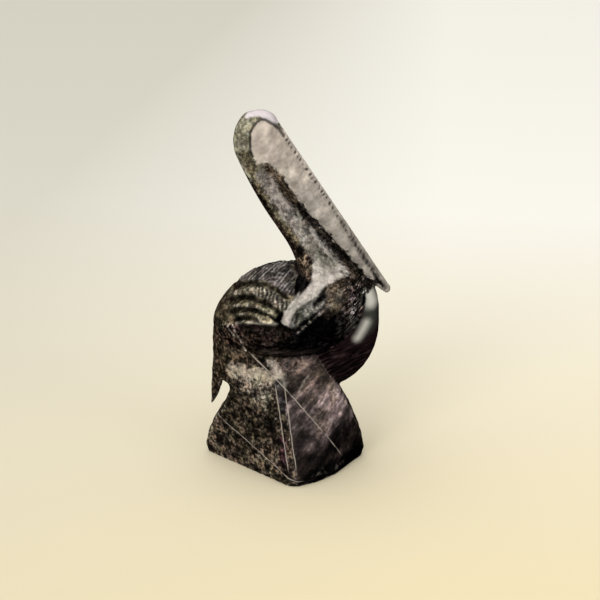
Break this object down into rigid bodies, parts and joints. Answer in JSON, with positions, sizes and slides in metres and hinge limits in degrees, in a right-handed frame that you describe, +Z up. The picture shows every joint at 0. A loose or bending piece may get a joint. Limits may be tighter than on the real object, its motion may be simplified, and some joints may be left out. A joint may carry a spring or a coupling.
{
  "type": "marble pelican carving",
  "caption": "Resting pelican carved with its rough rock from one block of dark veined marble, bill folded down the neck and feather rows on the wings; an ornament that stands on its flat foot.",
  "frame": {"origin": "middle of the flat foot, under the middle of the bounding box", "axes": "+Z up, +X the way the bird faces, +Y towards the bird's left side, so that the pictured right side looks along -Y"},
  "size_m": [0.1018, 0.0624, 0.1962],
  "materials": {
    "polished_marble": "polished dark olive-brown and black marble with cream veins, left matt and rough on the rock"
  },
  "bodies": {
    "root": {"pelican_carving": "polished_marble"}
  },
  "joints": []
}
